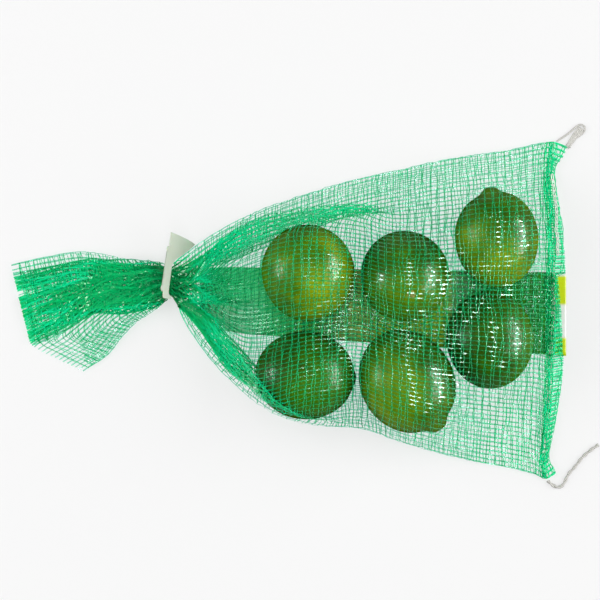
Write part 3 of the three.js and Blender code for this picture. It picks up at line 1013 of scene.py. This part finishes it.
def make_netting(tape, pair, netting):
    """Front and back layer, each as its tapes and its pairs of crossing yarns, all in one collection."""
    layers, neck = draped_layers()
    woven = []
    sides = (("front", 1, NET_CLEARANCE), ("back", -1, BACK_CLEARANCE))
    for sheet, (name, side, clearance) in zip(layers, sides):
        places, normals, sideways, gathered = weave(name, sheet, side, neck)
        wobble = smooth_noise(places.shape, (3, 3, 0)) * np.array(WOBBLE)
        slack = slackness(places)
        wobble[..., 2] *= 1 + SLACK_WOBBLE * slack
        gathered = np.maximum(gathered, SLACK_DULLING * slack)
        places[1:-1] += wobble[1:-1]
        places = trimmed(clear_of_limes(places, clearance))
        places[..., 2] = np.maximum(places[..., 2], FAN_LOWEST)
        woven.append(places)
        ahead = unit(np.gradient(places, axis=0))
        shown = left_out(name, places)
        netting.objects.link(make_tapes(name, shown, normals, sideways, ahead, gathered, tape))
        netting.objects.link(make_pairs(name, shown, normals, ahead, gathered, pair))
    return woven


def halved(values):
    """The same points with one more in the middle of every gap along the bag."""
    middles = 0.5 * (values[1:] + values[:-1])
    both = np.empty((len(values) + len(middles), *values.shape[1:]))
    both[::2], both[1::2] = values, middles
    return both


def make_tapes(name, places, normals, sideways, ahead, gathered, material):
    """Flat tapes along the bag, a little rolled, bowed between the pairs and of uneven width."""
    sideways = unit(sideways - (sideways * ahead).sum(axis=-1, keepdims=True) * ahead)
    tapes = places.shape[1]
    places = places.copy()
    places[0] -= ahead[0] * (FRAY * draw.uniform(-0.5, 0.5, tapes))[:, None]
    places[-1] += ahead[-1] * (FRAY * draw.uniform(-0.5, 0.5, tapes))[:, None]
    middle, normals, sideways = halved(places), unit(halved(normals)), unit(halved(sideways))
    points = middle.shape[:2]
    crown = TAPE_CROWN[0] + TAPE_CROWN[1] * draw.normal(size=(len(places) - 1, tapes))
    middle[1::2] += normals[1::2] * crown[..., None]
    buckle = TAPE_BUCKLE * (1 + CRINKLE * np.minimum(gathered[1:-1], CRINKLE_LIMIT))
    buckle = buckle * draw.normal(size=buckle.shape)
    middle[2:-2:2] += normals[2:-2:2] * buckle[..., None]
    middle[..., 2] = np.maximum(middle[..., 2], FAN_LOWEST)
    roll = TAPE_ROLL_SHARE * smooth_noise(points, (2, 0))
    roll = TAPE_ROLL * (roll + TAPE_ROLL_SHARE * draw.normal(size=points))
    width = TAPE_WIDTH * (1 + TAPE_UNEVENNESS * smooth_noise(points, (12, 0)))
    width *= 1 + TAPE_SPREAD * np.clip(2 * halved(gathered) - 1, 0, 1)
    width[-4:] *= LADDER_WIDENING
    across = np.cos(roll)[..., None] * sideways + np.sin(roll)[..., None] * normals
    bm = strips(middle, 0.5 * width[..., None] * across, TAPE_THICKNESS, halved(gathered))
    return finished(bm, f"{name}_tapes", material, ("net_pack",), TAPE_SHARPEST)


def make_pairs(name, places, normals, ahead, gathered, material):
    """Pairs of thin yarns across the bag, twisted tight in places and lying apart in others."""
    rows, tapes = places.shape[:2]
    usual, change = PAIR_PARTED
    parting = PAIR_PARTING * np.clip(usual + change * smooth_noise((rows, tapes), (0, 8)), 0, 1)
    drift = PAIR_SLACK * smooth_noise((rows, tapes), (0, 5))
    ends = ((0, 0), (1, 1), (0, 0))
    middles, halves = [], []
    for yarn, side in ((0, 1.0), (1, -1.0)):
        turn = np.where((np.arange(tapes) + yarn) % 2, 1.0, -1.0)[None]
        off = PAIR_TWIST * turn + side * parting + drift
        middle = places + ahead * off[..., None] + normals * (PAIR_LIFT * turn)[..., None]
        middle[..., 2] = np.maximum(middle[..., 2], FAN_LOWEST)
        first = middle[:, :1] + EDGE_NUB * unit(middle[:, :1] - middle[:, 1:2])
        last = middle[:, -1:] + EDGE_NUB * unit(middle[:, -1:] - middle[:, -2:-1])
        middles.append(np.concatenate([first, middle, last], axis=1)[1:-1])
        roll = PAIR_ROLL * draw.normal(size=(rows, tapes + 2))[..., None]
        wide = np.cos(roll) * np.pad(ahead, ends, "edge") + np.sin(roll) * np.pad(normals, ends, "edge")
        halves.append(0.5 * PAIR_WIDTH * wide[1:-1])
    middle, half = (np.concatenate(yarns).transpose(1, 0, 2) for yarns in (middles, halves))
    gathered = np.pad(gathered, ends[:2], "edge")[1:-1].T
    bm = strips(middle, half, PAIR_THICKNESS, np.concatenate([gathered, gathered], axis=1))
    return finished(bm, f"{name}_pairs", material, ("net_pack",))


def ring(angle, depth, place, width):
    """Round swelling about an angle from a lime's end."""
    return depth * np.exp(-((angle - place) / width) ** 2)


def make_lime(index, lime):
    """One lime: an uneven ellipsoid with a nipple at one end and a stem hollow at the other."""
    bm = bmesh.new()
    bmesh.ops.create_icosphere(bm, subdivisions=6, radius=1.0)
    points = np.array([vert.co for vert in bm.verts])
    nipple_side = 1 if lime.nipple else -1
    from_tip = np.arccos(np.clip(nipple_side * points[:, 2], -1, 1))
    from_stem = np.pi - from_tip
    height = lime.nipple or HIDDEN_NIPPLE
    spread = NIPPLE_SPREAD[0] + NIPPLE_SPREAD[1] * height
    grow = height * np.exp(-(from_tip / spread) ** 4) - ring(from_tip - spread, *NIPPLE_DIP)
    grow -= ring(from_stem, *STEM_HOLLOW) - ring(from_stem, *STEM_RIM)
    for _ in range(PEEL_WAVES):
        direction = unit(draw.normal(size=3))
        waves = points @ direction * draw.uniform(*PEEL_WAVE_COUNTS) + draw.uniform(0, 6.3)
        grow += PEEL_LUMPS * np.sin(waves)
    along = lime.along - NIPPLE_IN_LENGTH * height
    body = points * (np.array([lime.across, lime.across, along]) - PEEL_INSET)
    body += points * grow[:, None]
    turn = np.array(Vector(lime_axis(lime)).to_track_quat("Z", "Y").to_matrix())
    for vert, spot in zip(bm.verts, placed(body @ turn.T + lime_centre(lime))):
        vert.co = spot
    peel = peel_finish(f"lime_peel_{index + 1}", lime)
    return finished(bm, f"lime_{index + 1}", peel, ("net_pack",))


def make_scar(index, lime, material):
    """Dry button left by the stem, in the hollow at the lime's raised end."""
    bm = bmesh.new()
    bmesh.ops.create_icosphere(bm, subdivisions=4, radius=1.0)
    for vert in bm.verts:
        lobes = 1 + SCAR["lobe_depth"] * math.cos(SCAR["lobes"] * math.atan2(vert.co.y, vert.co.x))
        wide = SCAR["radius"] * lobes
        vert.co = (wide * vert.co.x, wide * vert.co.y, SCAR["height"] * vert.co.z)
    axis = lime_axis(lime)
    turn = Vector(axis).to_track_quat("Z", "Y").to_matrix().to_4x4()
    foot = lime_centre(lime) + axis * (lime.along - SCAR["sunk"]) + SHIFT
    bmesh.ops.transform(bm, matrix=Matrix.Scale(MM, 4) @ Matrix.Translation(foot) @ turn, verts=bm.verts[:])
    return finished(bm, f"lime_{index + 1}_stem", material, ("net_pack",))


def make_band(material):
    """Thin film along the bag's underside, lightly rippled."""
    bm = bmesh.new()
    corners = [bm.verts.new(spot) for spot in placed([(x, y, BAND_BOTTOM) for x, y in BAND_OUTLINE])]
    bm.faces.new(corners)
    bmesh.ops.recalc_face_normals(bm, faces=bm.faces[:])
    for axis, (first, last) in BAND_CUTS:
        for step in np.arange(first, last, BAND_CUT):
            cut_across(bm, axis, step * MM)
    along, bent, bend, across, slant = BAND_WAVES
    for vert in bm.verts:
        x, y = vert.co.x / MM, vert.co.y / MM
        ripple = math.sin(along * x + bent * math.sin(bend * y)) * math.sin(across * y + slant * x)
        vert.co.z += BAND_RIPPLE * MM * (1 + ripple)
    thickened(bm, BAND_FILM * MM)
    return finished(bm, "film_band", material, ("label_band",))


def tab_outline():
    """Points of the tab's outline, its bends in short steps."""
    shares = np.linspace(0, 1, TAB_BEND_STEPS + 1)[1:, None]
    outline = []
    for step in TAB_OUTLINE:
        if np.ndim(step) == 1:
            outline.append(step)
        else:
            start, (pull, end) = np.array(outline[-1]), np.array(step)
            outline += list((1 - shares) ** 2 * start + 2 * shares * (1 - shares) * pull + shares ** 2 * end)
    return outline[:-1]


def make_tab(material):
    """Closure tab: a bent plate with rounded rims."""
    bm = bmesh.new()
    bm.faces.new([bm.verts.new((x, y, 0.0)) for x, y in tab_outline()])
    bmesh.ops.triangulate(bm, faces=bm.faces[:])
    for step in np.linspace(TAB_CUT_MARGINS[0], TAB_WIDTH - TAB_CUT_MARGINS[1], TAB_CUTS):
        cut_across(bm, (1, 0, 0), step)
    half = math.radians(TAB_BEND / 2)
    radius = TAB_WIDTH / 2 / math.sin(half)
    for vert in bm.verts:
        vert.co.z = math.sqrt(radius ** 2 - (vert.co.x - TAB_WIDTH / 2) ** 2) - radius * math.cos(half)
    thickened(bm, TAB_THICKNESS)
    heading, lean = math.radians(TAB_HEADING), math.radians(TAB_LEAN)
    along = Vector((math.cos(heading), math.sin(heading), 0))
    level = Vector((along.y, -along.x, 0))
    across = level * math.cos(lean) + Vector((0, 0, -math.sin(lean)))
    turn = Matrix((across, along, across.cross(along))).transposed().to_4x4()
    place = Matrix.Translation(Vector(TAB_ORIGIN) + Vector(SHIFT))
    bmesh.ops.transform(bm, matrix=Matrix.Scale(MM, 4) @ place @ turn, verts=bm.verts[:])
    piece = finished(bm, "neck_tab", material, ("closure_tab",), sharpest=0)
    rims = piece.modifiers.new("rims", "BEVEL")
    rims.width = TAB_RIM * MM
    rims.segments = 2
    rims.limit_method = "ANGLE"
    rims.angle_limit = math.radians(50)
    return piece


def make_thread(name, node, route, yarn, material):
    """End of the seam's thread: plies twisted round the route."""
    count = THREAD_STEPS * (len(route) - 1)
    line = through(route, np.linspace(0, len(route) - 1, count + 1))
    lengths = distances(line)
    ahead = np.gradient(line, axis=0)
    plies = []
    for ply in range(yarn["plies"]):
        angle = (2 * np.pi * (lengths / yarn["turn"] + ply / yarn["plies"]))[:, None]
        plies.append(line + (yarn["radius"] - yarn["ply"]) * round_about(ahead, angle))
    bm = tubes(np.array(plies), yarn["ply"], 8)
    piece = finished(bm, name, material, (node,))
    return piece


def make_loop_chain(material):
    """Strands that lie side by side inside the upper thread's loop."""
    start, end = np.array(CHAIN_ENDS)
    shares = np.linspace(0, 1, 25)[:, None]
    side = unit(np.cross((0.0, 0.0, 1.0), end - start))
    narrow, more, less = CHAIN_SPREAD
    strands = []
    for strand in CHAIN_STRANDS:
        spread = (narrow + more * shares - less * shares ** 8) * strand
        sway = CHAIN_SWAY * np.sin(2 * np.pi * (1.5 * shares + strand / 3))
        strands.append(start + shares * (end - start) + (spread + sway) * side)
    bm = tubes(np.array(strands), CHAIN_RADIUS, 10)
    return finished(bm, "thread_loop_chain", material, ("thread_loop",))


def make_stitches(front, material):
    """Chain stitch along the seam, through both layers."""
    line = front[-3]
    lengths = distances(line)
    pitch = lengths[-1] / STITCHES
    turns = np.linspace(0, 2 * np.pi, 14, endpoint=False)
    first_shown, last_shown = STITCHES_SHOWN
    loops = []
    for stitch in range(STITCHES):
        reach = (stitch + 0.5) * pitch + STITCH_HALF_LENGTH * pitch * np.cos(turns)
        spots = points_at(reach, lengths, line)
        covered = not first_shown < stitch / STITCHES < last_shown
        spots[:, 0] += STITCH_OUT[covered] + STITCH_HALF_WIDTH * np.sin(turns) + STITCH_SHAKE * draw.normal()
        spots[:, 2] += STITCH_LIFT[covered] + STITCH_CROSSING * np.sin(turns) * np.cos(turns)
        loops.append(spots)
    bm = tubes(np.array(loops), STITCH_RADIUS, 6, closed=True)
    return finished(bm, "seam_stitches", material)


# Stage

def make_camera():
    """Camera straight over the table, framed as the photograph."""
    camera = bpy.data.cameras.new("camera")
    camera.sensor_width = SENSOR
    camera.lens = SENSOR * CAMERA_HEIGHT / FRAME_WIDTH
    holder = bpy.data.objects.new("camera", camera)
    holder.location = (CAMERA_OVER[0] * MM, CAMERA_OVER[1] * MM, CAMERA_HEIGHT * MM)
    bpy.context.collection.objects.link(holder)
    bpy.context.scene.camera = holder


def make_floor(netting):
    """Plain pale table, which glows on the netting alone."""
    bm = bmesh.new()
    bmesh.ops.create_grid(bm, x_segments=1, y_segments=1, size=6.0)
    material, tree, shader = surface("table")
    fill(tree, shader, {
        "Base Color": (0.3, 0.3, 0.3, 1.0),
        "Roughness": 0.9,
        "Specular IOR Level": 0.1,
        "Emission Color": (1.0, 1.0, 1.0, 1.0),
        "Emission Strength": 0.61,
    })
    floor = as_object(bm, "table", material)
    floor.light_linking.receiver_collection = netting


def make_light(name, place, size, power, mirrored, alone=None):
    """Panel turned to the bag, to light it or to be mirrored, in one collection alone where one is given."""
    light = bpy.data.lights.new(name, "AREA")
    light.shape = "RECTANGLE"
    light.size, light.size_y = size
    light.energy = power
    holder = bpy.data.objects.new(name, light)
    holder.location = place
    holder.rotation_euler = (-Vector(place)).to_track_quat("-Z", "Y").to_euler()
    holder.visible_glossy = mirrored
    holder.visible_diffuse = not mirrored
    holder.light_linking.receiver_collection = alone
    bpy.context.collection.objects.link(holder)


def make_stage(netting):
    """Table, softboxes, mirrored panels, two of them for the netting alone, and a dim pale surround."""
    make_floor(netting)
    make_light("softbox_left", (-1.3, 0.1, 0.8), (1.8, 1.2), 21, False)
    make_light("softbox_right", (1.35, 0.1, 0.8), (1.8, 1.2), 22, False)
    make_light("softbox_over", (0.0, 0.0, 1.5), (0.6, 2.4), 11, False)
    make_light("panel_left", (-1.4, 0.05, 0.36), (0.5, 0.3), 12, True)
    make_light("panel_right", (1.4, 0.05, 0.52), (1.4, 0.3), 46, True)
    make_light("panel_over", (0.19, 0.0, 1.5), (3.0, 0.2), 52, True, netting)
    make_light("panel_front", (0.9, -1.2, 1.0), (0.5, 0.3), 14, True, netting)
    world = bpy.data.worlds.new("surround")
    world.use_nodes = True
    background = world.node_tree.nodes["Background"]
    fill(world.node_tree, background, {"Color": (1.0, 1.0, 1.0, 1.0), "Strength": 0.06})
    bpy.context.scene.world = world
    bpy.context.scene.view_settings.view_transform = "Standard"


make_camera()
# Painted shade: the thread's ends are a darker white than the same thread in the seam's stitches.
thread = thread_finish("shaded_thread_ends", 0.52)
make_thread("thread_loop_plies", "thread_loop", THREAD_LOOP_ROUTE, THREAD_LOOP, thread)
make_thread("thread_tail_plies", "thread_tail", THREAD_TAIL_ROUTE, THREAD_TAIL, thread)
make_loop_chain(thread)
netting = bpy.data.collections.new("netting")
layers = make_netting(tape_finish(), pair_finish(), netting)
make_stitches(layers[0], thread_finish("seam_thread", 0.8))
for index, lime in enumerate(LIMES):
    make_lime(index, lime)
    if not lime.nipple:
        make_scar(index, lime, scar_finish())
make_band(film_finish())
make_tab(plastic_finish())
make_stage(netting)
